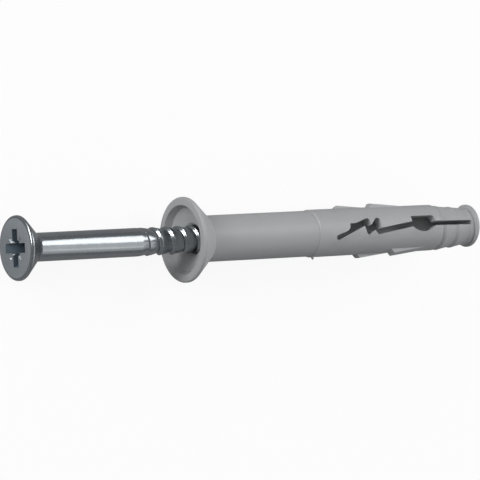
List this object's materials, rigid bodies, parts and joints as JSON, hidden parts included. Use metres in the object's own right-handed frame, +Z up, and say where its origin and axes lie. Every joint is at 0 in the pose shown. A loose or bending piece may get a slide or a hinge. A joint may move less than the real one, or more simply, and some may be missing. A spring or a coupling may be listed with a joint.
{
  "type": "hammer fixing plug",
  "caption": "Hammer-in wall plug: moulded grey sleeve with a countersunk collar, zigzag expansion slot and barbs, holding a part-driven plated steel nail with a cross-recessed head.",
  "frame": {"origin": "centre of the bounding box on the surface that the fixing lies on", "axes": "+X along the lying fixing from the nail's head to the sleeve's tip, +Z up; the slot looks up and a little to +Y"},
  "size_m": [0.0586, 0.0092, 0.0092],
  "materials": {
    "sleeve_plastic": "satin mid-grey moulded plastic",
    "nail_steel": "bright zinc plating with a cool tint"
  },
  "bodies": {
    "sleeve": {"plug_sleeve": "sleeve_plastic"},
    "nail": {"nail_screw": "nail_steel"}
  },
  "joints": [
    {"name": "nail_drive", "type": "slide", "parent": "sleeve", "child": "nail", "axis": [0.9985, 0, 0.0553], "range_m": [0, 0.01989]}
  ]
}
